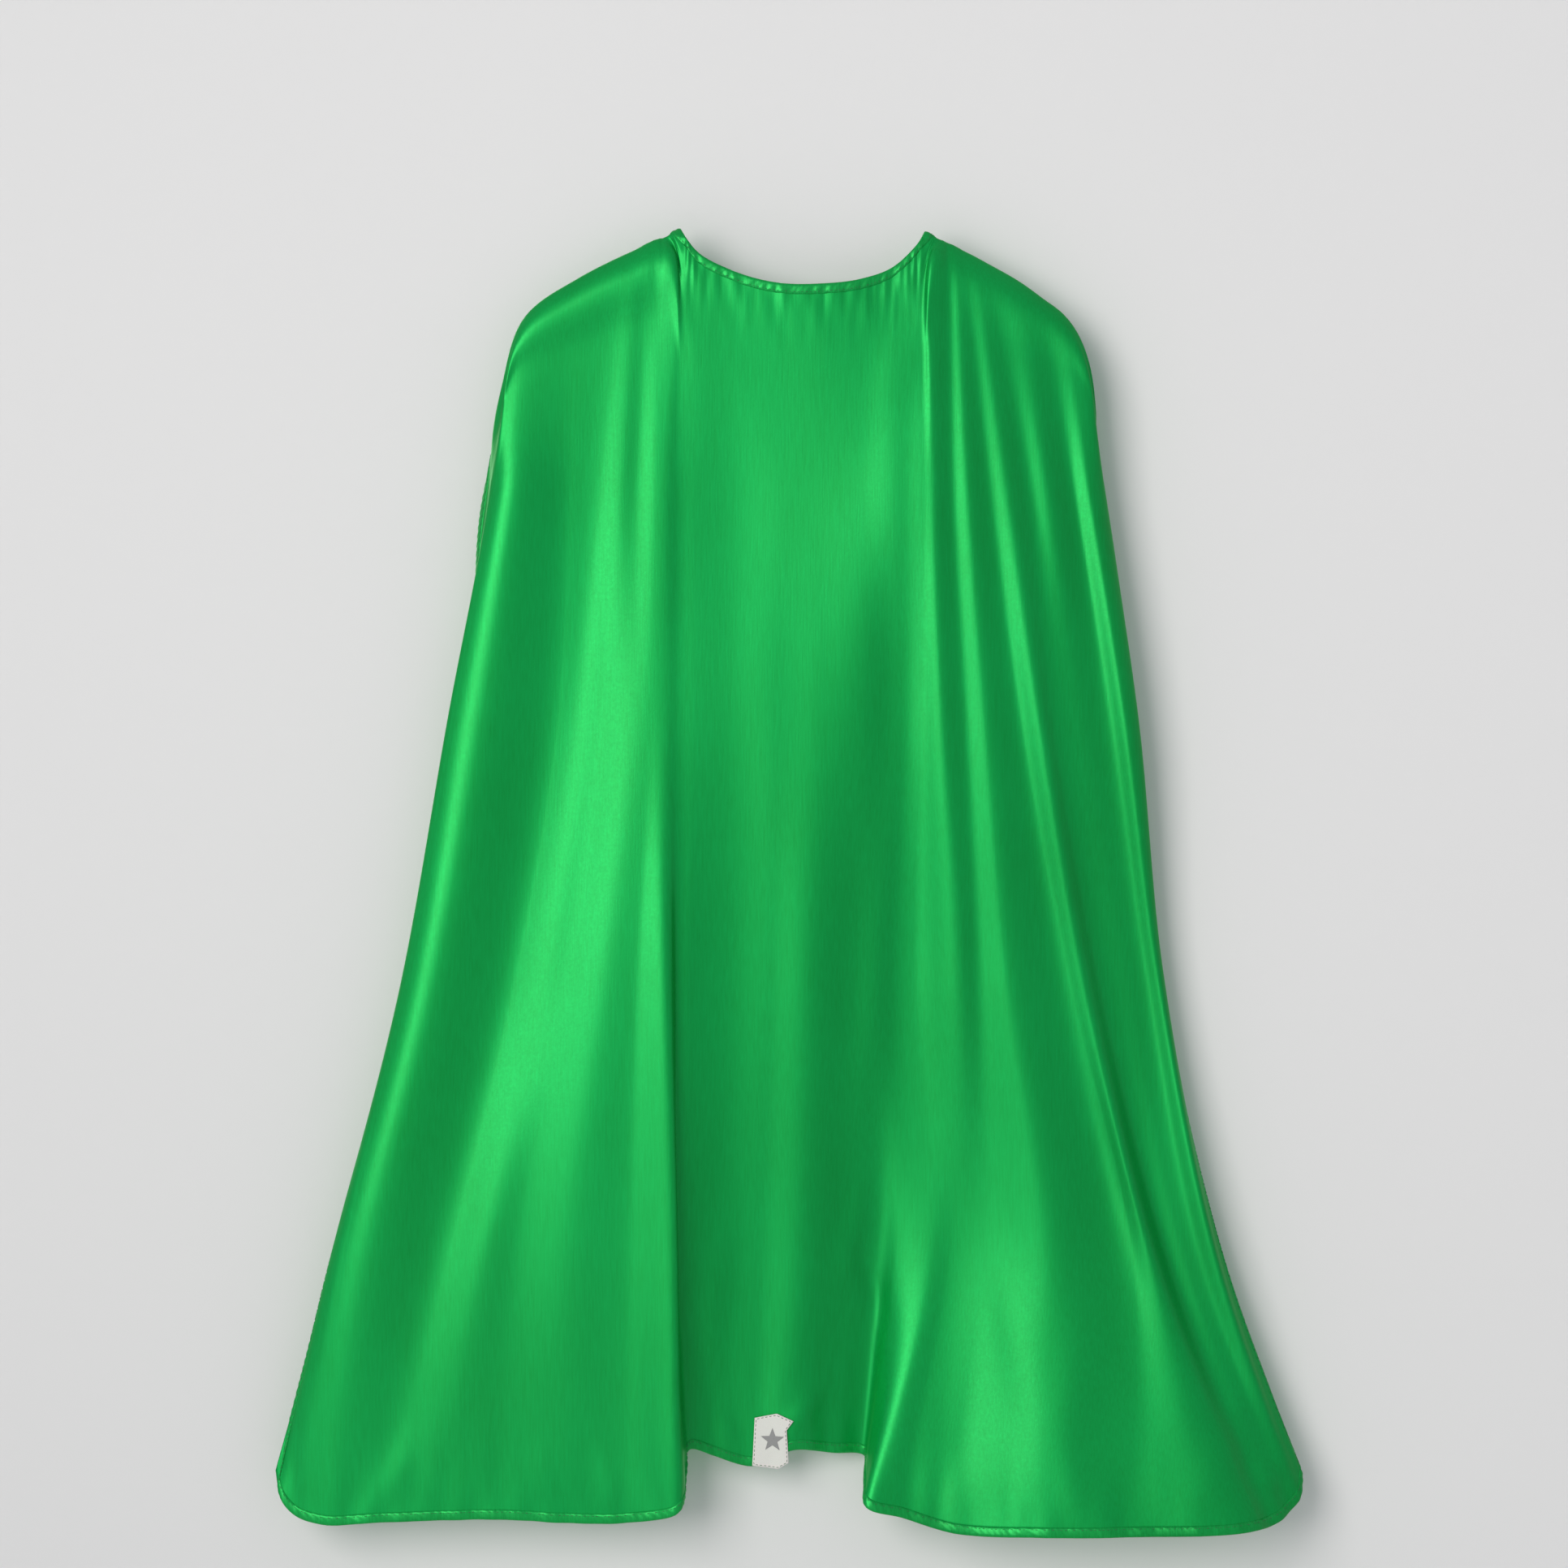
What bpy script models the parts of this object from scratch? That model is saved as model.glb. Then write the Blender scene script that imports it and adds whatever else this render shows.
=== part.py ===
"""Superhero cape: one sheet of satin, bound with tape, hanging from a shoulder-shaped line.

Metres, +Z up, +X to the wearer's right, -Y towards the wearer's back (the cape's outside).
The origin is the middle of the shoulder line, level with the two neck points, so the cape
hangs below it. The cloth is a loft through named fold lines that fan out from the neckline.
Each fold line is given at the shoulder, chest, waist, hip, knee and hem, in millimetres.
"""

import math
from collections import namedtuple

import bmesh
import bpy
from mathutils import Matrix, Vector

MM = 0.001

# Driving dimensions, in metres
CLOTH = 1.0 * MM              # thickness of the satin sheet
GAP = 0.3 * MM                # space between sewn layers
TAPE_GAP = 0.6 * MM           # space between the sheet and the tape folded over it
TAPE = 0.6 * MM               # thickness of one layer of binding tape
BINDING_WIDTH = 8.0 * MM      # finished width of the binding
SHOULDER_THICKNESS = 14.0 * MM
ROLL_DROP = 10.0 * MM         # how far below the shoulder line the cloth has turned over it
FULL_ROLL_LENGTH = 40 * MM    # a shorter way to the shoulder line turns less
SHOULDER_CROWN = Vector((0, 1.5 * MM, 2 * MM))   # how far the cloth bows out on its way there
HALFWAY = 0.5                 # share of the way from the neck to the turn
NEAR_TOP = 0.8                # share of the way from the neck to a free edge's turn
BELOW_ROLL = 0.3              # share of the way from there to the chest
BELOW_TOP = 0.35              # share of the way from a free edge's turn to the chest
STITCH_CLEARANCE = 9 * MM     # no control point is nearer the cloth's edge than this
EDGE_ARCH = 9 * MM            # rise of the free edge between the tab and the shoulder's side
NECK_DEPTH = 11 * MM          # the neckline's lowest stretch hangs this far out
# Five steps below the neckline: distance at its middle, distance at the neck point, and how
# far the cloth stands out there at the neck point
NECK_STEPS = (
    (20 * MM, 10 * MM, 5.0 * MM),
    (38 * MM, 12 * MM, 5.5 * MM),
    (56 * MM, 15 * MM, 6.0 * MM),
    (90 * MM, 30 * MM, 6.5 * MM),
    (130 * MM, 80 * MM, 4.0 * MM),
)
CHEST_Z = -211 * MM
WAIST_Z = -400 * MM
HIP_Z = -613 * MM
KNEE_Z = -854 * MM
TAB_TOP = -63 * MM
TAB_BOTTOM = -108 * MM
LOOP_TAB_Y = 12.0 * MM
HOOK_TAB_Y = 16.6 * MM
LOOP_CUT_X = -60 * MM         # where the loop tab leaves the panel
HOOK_CUT_X = 70 * MM          # where the hook tab leaves the panel
HINGE_SPACE = 4.0 * MM        # from the panel's cut to the tab's bending line
TAB_ROOT_SPACE = 1.0 * MM     # from the bending line to the tab's cloth
TAB_REACH = 34 * MM           # how far each tab passes the middle
STRIP_SIZE = (34 * MM, 1.2 * MM, 20 * MM)
LABEL_INSET = 0.1             # share of a cell left free at each side of the label
LABEL_THICKNESS = 0.5 * MM
LABEL_LIFT = 2.6 * MM         # label's middle, above the middle of the sheet
STRIP_CORNER = 0.3 * MM       # radius of the fastener strips' edges
TAB_END_STEPS = 14            # straight pieces round a tab's end
HALVINGS = 24                 # steps of the search for the line of stitches

# Steps between neighbouring control points, down the cloth and across it
ROWS = (2, 1, 1, 1, 1, 2, 3, 3, 4, 4)
COLUMN_STEPS = 2

# neck: where the line leaves the neckline (x, y, z); over: where it crosses the shoulder
# (x, y, z), or None if it starts on the outside; rolls: it turns over the shoulder line
# there; chest, waist, hip and knee: (x, y); hem: (x, y, z). Millimetres.
Fold = namedtuple("Fold", "name neck over rolls chest waist hip knee hem")

FOLDS = (
    Fold("edge_left", (-60, 12, -108), (-252, 15, -186), False,
         (-258, 17), (-269, 24), (-314, 24), (-384, 6), (-429, 2, -1023)),
    Fold("wrap_left", (-60, 12, -97), (-249, 7, -158), False,
         (-253, 4), (-281, 12), (-322, 11), (-385, -4), (-425, -1, -1043)),
    Fold("side_left", (-60, 12, -85), (-240, 0, -127), False,
         (-251, -5), (-286, -3), (-323, -5), (-379, -11), (-415, -5, -1057)),
    Fold("rim_left", (-60, 12, -74), (-222, 0, -69), True,
         (-245, -11), (-279, -8), (-316, -11), (-370, -15), (-394, -10, -1064)),
    Fold("trough_left", (-60, 12, -63), (-180, 0, -39), True,
         (-187, -5), (-209, 0), (-241, -3), (-294, -8), (-347, -11, -1063)),
    Fold("rise_outer", (-68, 10, -44), (-143, 0, -20), True,
         (-162, -5), (-188, -1), (-214, -7), (-260, -14), (-297, -12, -1061)),
    Fold("rise_inner", (-75, 10, -30), (-132, 0, -15), True,
         (-144, -7.5), (-162, -7), (-189, -14), (-227, -14.5), (-243, -12, -1060)),
    Fold("shelf", (-83, 8, -16), (-121, 0, -9), True,
         (-130, -7), (-137, -12.5), (-160, -21), (-188, -19), (-187, -13, -1063)),
    Fold("brow", (-91, 5, -4), (-113, 0, -6), True,
         (-115, -9.5), (-120, -14), (-130, -22), (-136, -18.5), (-137, -15, -1062)),
    Fold("lobe_left", (-95, 0, 2), (-107, -1, -5), True,
         (-106, -9.5), (-105, -14.5), (-101, -23.5), (-96, -24), (-93, -26, -1049)),
    Fold("back_left", (-91, -6, -5), None, False,
         (-96, -7), (-97, -13.5), (-101, -16), (-101, -12), (-91, -12, -1040)),
    Fold("valley_left", (-82, -8, -17), None, False,
         (-83, -6.5), (-84, -13), (-87, -14), (-87, -8), (-87, -4, -1005)),
    Fold("floor_left", (-54, -9, -33), None, False,
         (-50, -6), (-51, -10), (-57, -5), (-60, 3), (-67, 8, -1012)),
    Fold("centre", (-16, -11, -44), None, False,
         (-12, -8.5), (-15, -9), (-23, -2.5), (-30, 6.5), (-37, 10, -1021)),
    Fold("crease", (22, -12, -45), None, False,
         (21, -11), (21, -10), (13, -2), (7, 9), (-1, 8, -1007)),
    Fold("floor_right", (54, -11, -41), None, False,
         (55, -14.5), (55, -9.5), (50, 6), (51, 22), (30, 20, -1012)),
    Fold("valley_right", (80, -8, -31), None, False,
         (80, -18), (80, -7), (67, 8), (71, 26), (58, 27, -1016)),
    Fold("back_right", (94, -8, -19), None, False,
         (93, -19), (93, -7), (83, 12), (83, 28), (58, 9, -1027)),
    Fold("lobe_right", (103, -6, -8), None, False,
         (105, -20.5), (104, -9), (98, 12.5), (105, 27), (59, -14, -1050)),
    Fold("brow_right", (107, 0, 0), (119, -3, -7), True,
         (114, -21.5), (120, -13.5), (137, 2.5), (125, 20), (86, -16, -1058)),
    Fold("pleat_inner", (103, 5, -7), (125, 0, -9), True,
         (128, -17.5), (139, -11), (150, 4), (153, 12), (123, -18, -1069)),
    Fold("pleat_middle", (97, 8, -16), (132, 0, -12), True,
         (142, -19.5), (156, -14), (175, -1), (207, -4), (198, -36, -1069)),
    Fold("dip_right", (90, 11, -27), (139, 0, -16), True,
         (158, -15.5), (184, -9.5), (224, 4), (278, -2), (271, -36, -1068)),
    Fold("pleat_sharp", (84, 13, -38), (147, 0, -20), True,
         (175, -17.5), (203, -14), (237, 1), (291, -6), (378, -34, -1064)),
    Fold("drop_right", (77, 15, -51), (158, 0, -26), True,
         (191, -12.5), (213, -10.5), (254, 7), (312, 2), (390, -25, -1062)),
    Fold("pleat_outer", (70, 16.6, -63), (186, 0, -42), True,
         (208, -14), (236, -7), (274, 8), (323, 1), (400, -19, -1058)),
    Fold("gutter_right", (70, 16.6, -71.5), (204, 0, -55), True,
         (228, -7), (259, -5), (290, 8), (335, 0), (407, -13, -1053)),
    Fold("rim_right", (70, 16.6, -80), (221, 0, -68), True,
         (243, -10), (272, -10), (301, 4), (349, -5), (414, -7, -1046)),
    Fold("side_right", (70, 16.6, -88.5), (243, 0, -124), False,
         (255, 0), (283, 0), (305, 10), (353, 3), (417, -2, -1038)),
    Fold("wrap_right", (70, 16.6, -98), (244, 8, -160), False,
         (255, 9), (280, 10), (304, 17), (356, 9), (418, 2, -1030)),
    Fold("edge_right", (70, 16.6, -108), (225, 18, -184), False,
         (243, 20), (270, 20), (298, 25), (356, 15), (417, 7, -1021)),
)
NAMES = [fold.name for fold in FOLDS]
BACK_CENTRE = Vector((0, 0, -0.25))
IN_PLANE = Vector((1, 0, 1))

SATIN_GREEN = (0.002, 0.36, 0.065, 1)
TAPE_GREEN = (0.002, 0.32, 0.055, 1)
LABEL_WHITE = (0.68, 0.68, 0.64, 1)
FASTENER_GREEN = (0.004, 0.20, 0.045, 1)


def spline(points, place):
    """Point on a smooth curve through the points; place counts in points along it."""
    index = min(int(place), len(points) - 2)
    along = place - index
    start, end = points[index], points[index + 1]
    before = points[index - 1] if index else 2 * start - end
    after = points[index + 2] if index + 2 < len(points) else 2 * end - start
    length = max((end - start).length, 1e-6)
    length_before = max((start - before).length, 1e-6)
    length_after = max((after - end).length, 1e-6)
    slope = (end - start) / length
    tangent_start = ((start - before) / length_before * length + slope * length_before)
    tangent_start *= length / (length + length_before)
    tangent_end = (slope * length_after + (after - end) / length_after * length)
    tangent_end *= length / (length + length_after)
    square = along * along
    cube = square * along
    return ((2 * cube - 3 * square + 1) * start + (cube - 2 * square + along) * tangent_start
            + (3 * square - 2 * cube) * end + (cube - square) * tangent_end)


def control_points(fold):
    """Eleven points down one fold line, from the neckline to the hem."""
    neck = Vector(fold.neck) * MM
    chest = Vector((fold.chest[0] * MM, fold.chest[1] * MM, CHEST_Z))
    half = Vector((0, SHOULDER_THICKNESS / 2, 0))
    if fold.over is None:
        fall = (chest - neck).normalized()
        nearness = max(0.0, 1 + neck.y / NECK_DEPTH)
        upper = []
        for middle_step, point_step, bulge in NECK_STEPS:
            step = middle_step + (point_step - middle_step) * nearness
            upper.append(neck + fall * step - Vector((0, bulge * nearness, 0)))
    else:
        top = Vector(fold.over) * MM
        inward = ((BACK_CENTRE - top) * IN_PLANE).normalized() * ROLL_DROP
        fall = ((chest - top) * IN_PLANE).normalized() * ROLL_DROP
        turned = min(1.0, (neck - top).length / FULL_ROLL_LENGTH)
        before_top = top + (inward + half) * turned if top.y == 0 else neck.lerp(top, NEAR_TOP)
        after_top = top + fall - half if fold.rolls else top.lerp(chest, BELOW_TOP)
        if top.y > 0:
            before_top.z += EDGE_ARCH
        share = max(HALFWAY, STITCH_CLEARANCE / (before_top - neck).length)
        middle = neck.lerp(before_top, share) + SHOULDER_CROWN * turned
        below = after_top.lerp(chest, BELOW_ROLL)
        upper = [middle, before_top, top, after_top, below]
    waist = Vector((fold.waist[0] * MM, fold.waist[1] * MM, WAIST_Z))
    hip = Vector((fold.hip[0] * MM, fold.hip[1] * MM, HIP_Z))
    knee = Vector((fold.knee[0] * MM, fold.knee[1] * MM, KNEE_Z))
    return [neck, *upper, chest, waist, hip, knee, Vector(fold.hem) * MM]


LINES = [control_points(fold) for fold in FOLDS]
LAST_LINE = len(LINES) - 1
LAST_ROW = len(LINES[0]) - 1


def cloth(across, down):
    """Point in the middle of the sheet; across counts fold lines, down control points."""
    return spline([spline(line, down) for line in LINES], across)


def step_in(edge, sign, point_at):
    """Place, in control units from an edge, that lies one binding width inside it."""
    start = point_at(edge)
    low, high = 0.0, 1.0
    for _ in range(HALVINGS):
        middle = (low + high) / 2
        if (point_at(edge + sign * middle) - start).length < BINDING_WIDTH:
            low = middle
        else:
            high = middle
    return edge + sign * low


def row_places():
    places = []
    for index, steps in enumerate(ROWS):
        places += [index + step / steps for step in range(steps)]
    return places + [LAST_ROW]


def column_places():
    steps = COLUMN_STEPS
    return [index / steps for index in range(LAST_LINE * steps + 1)]


def cloth_grid():
    """Grid of sheet points, with a row and a column along every line of binding stitches."""
    rows = row_places()
    columns = column_places()
    neck_row = []
    hem_row = []
    for across in columns:
        neck_row.append(step_in(0, 1, lambda down: cloth(across, down)))
        hem_row.append(step_in(LAST_ROW, -1, lambda down: cloth(across, down)))
    places = [[(across, down) for down in rows] for across in columns]
    for index, column in enumerate(places):
        column[1] = (columns[index], neck_row[index])
        column.insert(len(column) - 1, (columns[index], hem_row[index]))
    left, right = [], []
    for _, down in places[0]:
        left.append((step_in(0, 1, lambda across: cloth(across, down)), down))
    for _, down in places[-1]:
        right.append((step_in(LAST_LINE, -1, lambda across: cloth(across, down)), down))
    places[1] = left
    places[-2] = right
    return [[cloth(*place) for place in column] for column in places]


def grid_normals(mesh, rows):
    """The sheet mesh's own normals, column by column, so that the tape follows it exactly."""
    normals = [vertex.normal.copy() for vertex in mesh.vertices]
    return [normals[start:start + rows] for start in range(0, len(normals), rows)]


def material(name, colour, roughness, sheen=0.0):
    made = bpy.data.materials.new(name)
    made.use_nodes = True
    shader = made.node_tree.nodes["Principled BSDF"]
    shader.inputs["Base Color"].default_value = colour
    shader.inputs["Roughness"].default_value = roughness
    shader.inputs["Metallic"].default_value = 0.0
    shader.inputs["Sheen Weight"].default_value = sheen
    made.diffuse_color = colour
    return made


def add_object(name, data, collection, finish):
    thing = bpy.data.objects.new(name, data)
    collection.objects.link(thing)
    data.materials.append(finish)
    return thing


def mesh_from(name, bm):
    mesh = bpy.data.meshes.new(name)
    bm.to_mesh(mesh)
    bm.free()
    return mesh


def sheet_mesh(name, grid):
    """Open surface through a grid of points, facing the cape's outside.

    Each cell is split from the cloth's edge inwards, as the binding's faces are, so that
    the two fit where the cloth twists.
    """
    bm = bmesh.new()
    verts = [[bm.verts.new(point) for point in column] for column in grid]
    last_cell = len(verts) - 2
    last_row = len(verts[0]) - 2
    for column in range(last_cell + 1):
        left, right = verts[column], verts[column + 1]
        for row in range(last_row + 1):
            a, b, c, d = left[row], left[row + 1], right[row + 1], right[row]
            if row == last_row and column < last_cell:
                bm.faces.new((a, b, d))
                bm.faces.new((b, c, d))
            else:
                bm.faces.new((a, b, c))
                bm.faces.new((a, c, d))
    for face in bm.faces:
        face.smooth = True
    return mesh_from(name, bm)


def solidify(thing, thickness):
    modifier = thing.modifiers.new("thickness", "SOLIDIFY")
    modifier.thickness = thickness
    modifier.offset = 0


def binding_section(station, along):
    """The eight corners of tape folded over an edge of the sheet that runs along a direction."""
    edge, inner, edge_normal, inner_normal = station
    near = CLOTH / 2 + TAPE_GAP
    far = near + TAPE
    out = edge - inner
    out = (out - out.project(along)).normalized()
    tip = out * (TAPE_GAP + TAPE)
    pocket = out * TAPE_GAP
    return [
        inner + inner_normal * far,
        edge + edge_normal * far + tip,
        edge - edge_normal * far + tip,
        inner - inner_normal * far,
        inner - inner_normal * near,
        edge - edge_normal * near + pocket,
        edge + edge_normal * near + pocket,
        inner + inner_normal * near,
    ]


def binding_mesh(name, stations):
    """Tape swept along stations of (edge, inner, edge normal, inner normal)."""
    bm = bmesh.new()
    rings = []
    for index, station in enumerate(stations):
        before = stations[max(index - 1, 0)]
        after = stations[min(index + 1, len(stations) - 1)]
        section = binding_section(station, after[0] - before[0])
        rings.append([bm.verts.new(corner) for corner in section])
    for ring, following in zip(rings, rings[1:]):
        for index in range(len(ring)):
            after = (index + 1) % len(ring)
            a, b, c, d = ring[index], ring[after], following[after], following[index]
            if index in (0, 4):
                bm.faces.new((a, b, d))
                bm.faces.new((b, c, d))
            else:
                bm.faces.new((a, b, c))
                bm.faces.new((a, c, d))
    for ring in (rings[0], rings[-1]):
        bm.faces.new((ring[0], ring[1], ring[6], ring[7]))
        bm.faces.new((ring[1], ring[2], ring[5], ring[6]))
        bm.faces.new((ring[2], ring[3], ring[4], ring[5]))
    bmesh.ops.remove_doubles(bm, verts=bm.verts, dist=1e-6)
    bmesh.ops.triangulate(bm, faces=bm.faces)
    bmesh.ops.recalc_face_normals(bm, faces=bm.faces)
    return mesh_from(name, bm)


def neck_stations(grid, normals):
    """Along the neckline, from one tab's upper corner to the other's."""
    first = NAMES.index("trough_left") * COLUMN_STEPS
    last = NAMES.index("pleat_outer") * COLUMN_STEPS
    return [(grid[column][0], grid[column][1], normals[column][0], normals[column][1])
            for column in range(first, last + 1)]


def edge_stations(grid, normals):
    """Down the left side, round the corner, along the hem, and up the right side."""
    last_column, last_row = len(grid) - 1, len(grid[0]) - 1
    path = [((0, row), (1, row)) for row in range(last_row)]
    path.append(((0, last_row), (1, last_row - 1)))
    path += [((column, last_row), (column, last_row - 1)) for column in range(1, last_column)]
    path.append(((last_column, last_row), (last_column - 1, last_row - 1)))
    path += [((last_column, row), (last_column - 1, row)) for row in range(last_row - 1, -1, -1)]
    return [(grid[a][b], grid[c][d], normals[a][b], normals[c][d])
            for (a, b), (c, d) in path]


def tab_outline(root_x, tip_x, inset):
    """Outline of a throat tab in x and z: a strip with a round end, inset all round."""
    side = math.copysign(1, tip_x - root_x)
    middle = (TAB_TOP + TAB_BOTTOM) / 2
    half = (TAB_TOP - TAB_BOTTOM) / 2
    radius = half - inset
    centre = tip_x - side * half
    points = [(root_x, middle + radius)]
    for step in range(TAB_END_STEPS + 1):
        turn = math.pi * step / TAB_END_STEPS
        points.append((centre + side * radius * math.sin(turn),
                       middle + radius * math.cos(turn)))
    return points + [(root_x, middle - radius)]


def make_tab(name, root_x, tip_x, y, collection, finish):
    outline = tab_outline(root_x, tip_x, 0)
    curve = bpy.data.curves.new(name, "CURVE")
    curve.dimensions = "2D"
    curve.fill_mode = "BOTH"
    curve.extrude = CLOTH / 2
    line = curve.splines.new("POLY")
    line.points.add(len(outline) - 1)
    for point, (x, z) in zip(line.points, outline):
        point.co = (x - root_x, z, 0, 1)
    line.use_cyclic_u = True
    tab = add_object(name, curve, collection, finish)
    tab.location = (root_x, y, 0)
    tab.rotation_euler = (math.pi / 2, 0, 0)
    return tab


def make_tab_binding(name, root_x, tip_x, y, collection, finish):
    outside = Vector((0, 1, 0))
    stations = []
    for edge, inner in zip(tab_outline(root_x, tip_x, 0),
                           tab_outline(root_x, tip_x, BINDING_WIDTH)):
        stations.append((Vector((edge[0], y, edge[1])), Vector((inner[0], y, inner[1])),
                         outside, outside))
    return add_object(name, binding_mesh(name, stations), collection, finish)


def make_strip(name, y, collection, finish):
    """Fastener tape: a flat box with slightly rounded corners, in the middle of the tabs."""
    bm = bmesh.new()
    bmesh.ops.create_cube(bm, size=1)
    bmesh.ops.scale(bm, vec=STRIP_SIZE, verts=bm.verts)
    strip = add_object(name, mesh_from(name, bm), collection, finish)
    strip.location = (0, y, (TAB_TOP + TAB_BOTTOM) / 2)
    corners = strip.modifiers.new("corners", "BEVEL")
    corners.width = STRIP_CORNER
    corners.segments = 2
    return strip


def make_tab_set(side, cut_x, y, strip_name, strip_y, collection, finishes):
    """One throat tab with its binding and fastener strip, hung on an empty at its bend."""
    inward = -math.copysign(1, cut_x)
    hinge_x = cut_x + inward * HINGE_SPACE
    root_x = hinge_x + inward * TAB_ROOT_SPACE
    tip_x = inward * TAB_REACH
    satin, tape, fastener = finishes
    hinge = bpy.data.objects.new(side + "_tab_bend", None)
    collection.objects.link(hinge)
    hinge.location = (hinge_x, y, 0)
    pieces = [
        make_tab(side + "_tab", root_x, tip_x, y, collection, satin),
        make_tab_binding(side + "_tab_binding", root_x, tip_x, y, collection, tape),
        make_strip(strip_name, strip_y, collection, fastener),
    ]
    for piece in pieces:
        piece.parent = hinge
        piece.matrix_parent_inverse = Matrix.Translation(-hinge.location)


def make_label(grid, normals, collection, finish):
    """Woven label over the middle of the hem, lying on the sheet's own facets."""
    first = NAMES.index("centre") * COLUMN_STEPS
    patch = []
    for column, share in ((first, LABEL_INSET), (first + 1, 0.0), (first + 1, 1 - LABEL_INSET)):
        line = []
        for row in (-3, -2, -1):
            point = grid[column][row].lerp(grid[column + 1][row], share)
            normal = normals[column][row].lerp(normals[column + 1][row], share)
            line.append(point + normal.normalized() * LABEL_LIFT)
        patch.append(line)
    label = add_object("hem_label", sheet_mesh("hem_label", patch), collection, finish)
    solidify(label, LABEL_THICKNESS)


def main():
    for thing in list(bpy.data.objects):
        bpy.data.objects.remove(thing)
    cape = bpy.data.collections.new("superhero_cape")
    bpy.context.scene.collection.children.link(cape)

    satin = material("satin", SATIN_GREEN, 0.36, 0.2)
    tape = material("binding_tape", TAPE_GREEN, 0.42, 0.2)
    label_cloth = material("label", LABEL_WHITE, 0.8)
    fastener = material("fastener", FASTENER_GREEN, 0.9)

    grid = cloth_grid()
    panel = add_object("cape_panel", sheet_mesh("cape_panel", grid), cape, satin)
    normals = grid_normals(panel.data, len(grid[0]))
    solidify(panel, CLOTH)
    add_object("neck_binding", binding_mesh("neck_binding", neck_stations(grid, normals)),
               cape, tape)
    add_object("edge_binding", binding_mesh("edge_binding", edge_stations(grid, normals)),
               cape, tape)
    make_label(grid, normals, cape, label_cloth)
    finishes = (satin, tape, fastener)
    strip_step = CLOTH / 2 + GAP + STRIP_SIZE[1] / 2
    make_tab_set("loop", LOOP_CUT_X, LOOP_TAB_Y, "loop_strip", LOOP_TAB_Y + strip_step,
                 cape, finishes)
    make_tab_set("hook", HOOK_CUT_X, HOOK_TAB_Y, "hook_strip", HOOK_TAB_Y - strip_step,
                 cape, finishes)


main()
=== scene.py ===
"""Looks of the superhero cape: shiny green satin, bound edges, throat tabs and a hem label.

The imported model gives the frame. The sheet is lofted at a finer step than the CAD panel, through
fold lines that are tuned for the shading, and then gets its small puckers and creases.
Metres throughout, except the fold table, the creases and the label's outline, which are in
millimetres.
"""

import math
from collections import namedtuple

import bpy
import numpy as np
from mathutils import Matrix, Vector
from mathutils.bvhtree import BVHTree


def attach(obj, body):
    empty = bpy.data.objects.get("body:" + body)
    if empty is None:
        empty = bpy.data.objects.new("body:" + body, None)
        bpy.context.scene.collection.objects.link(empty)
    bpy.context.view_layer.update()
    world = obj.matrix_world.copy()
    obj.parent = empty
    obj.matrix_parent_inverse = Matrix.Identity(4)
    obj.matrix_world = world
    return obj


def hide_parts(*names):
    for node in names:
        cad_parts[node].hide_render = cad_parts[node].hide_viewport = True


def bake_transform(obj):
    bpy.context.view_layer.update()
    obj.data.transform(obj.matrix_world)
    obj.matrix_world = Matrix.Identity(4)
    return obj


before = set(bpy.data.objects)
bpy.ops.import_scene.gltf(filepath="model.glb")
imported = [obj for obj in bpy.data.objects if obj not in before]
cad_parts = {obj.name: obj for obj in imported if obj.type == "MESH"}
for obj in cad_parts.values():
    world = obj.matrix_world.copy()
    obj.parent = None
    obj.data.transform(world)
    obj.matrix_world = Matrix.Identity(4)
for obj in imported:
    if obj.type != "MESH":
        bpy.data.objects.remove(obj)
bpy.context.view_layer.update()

MM = 0.001
SEED = 7
SMALLEST = 1e-12              # keeps the length of a direction above zero
SMALLEST_SPAN = 1e-6          # keeps the distance between two points of a spline above zero

# The heights of four of the points on every fold line
CHEST_Z = -211 * MM
WAIST_Z = -400 * MM
HIP_Z = -613 * MM
KNEE_Z = -854 * MM

# How the sheet turns over the shoulders
SHOULDER_THICKNESS = 14.0 * MM
SHOULDER_CROWN = np.array((0, 1.5 * MM, 2 * MM))   # how far the middle of the shoulder is raised
HALFWAY = 0.5                 # share of the way from the neckline to the roll
STITCH_CLEARANCE = 9 * MM     # the least length of cloth from the neckline to that point
ROLL_DROP = 10.0 * MM         # how far the cloth falls on each side of a roll's top
FULL_ROLL_LENGTH = 40 * MM    # shoulders shorter than this are rolled less
NEAR_TOP = 0.8                # share of the way to the top, on a line with no roll before it
BELOW_TOP = 0.35              # share of the way to the chest, on a line with no roll after it
BELOW_ROLL = 0.3              # share of the way from the roll to the chest
EDGE_ARCH = 9 * MM            # how far the free front edge is raised before its turn

# Where a line that starts at the back of the neck has its five points above the chest: length
# of cloth from the neckline at the middle, and at the end of the neckline, and how far it bulges
NECK_DEPTH = 11 * MM
NECK_STEPS = (
    (20 * MM, 10 * MM, 5.0 * MM),
    (38 * MM, 12 * MM, 5.5 * MM),
    (56 * MM, 15 * MM, 6.0 * MM),
    (90 * MM, 30 * MM, 6.5 * MM),
    (130 * MM, 80 * MM, 4.0 * MM),
)

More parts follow.
